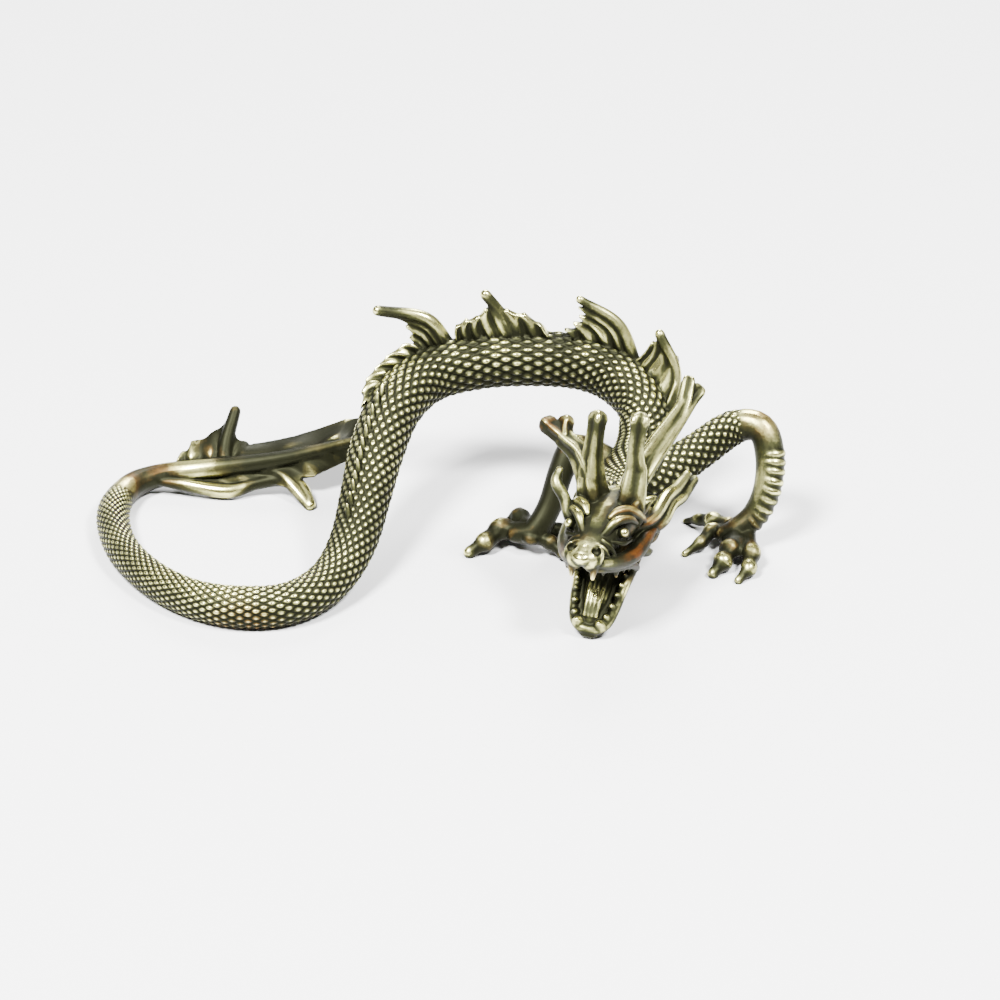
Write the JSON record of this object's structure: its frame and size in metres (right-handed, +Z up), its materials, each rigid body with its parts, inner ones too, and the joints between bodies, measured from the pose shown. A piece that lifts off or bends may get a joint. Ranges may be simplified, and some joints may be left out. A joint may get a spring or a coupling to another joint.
{
  "type": "dragon figurine",
  "caption": "Small cast brass crawling dragon: scaled body in a ground loop and a raised arch, finned back and tail, clawed forelimbs, open-mouthed antlered head.",
  "frame": {"origin": "middle of the figure's bounding box, on the surface that it stands on", "axes": "+Z up, +X from the loop of the tail towards the arm that reaches out, -Y towards the side that the head faces"},
  "size_m": [0.1054, 0.0557, 0.0334],
  "materials": {
    "brass": "polished high spots, dark green-black patina in the grooves, warm brown on parts of the head and arms"
  },
  "bodies": {
    "root": {"dragon": "brass"}
  },
  "joints": []
}
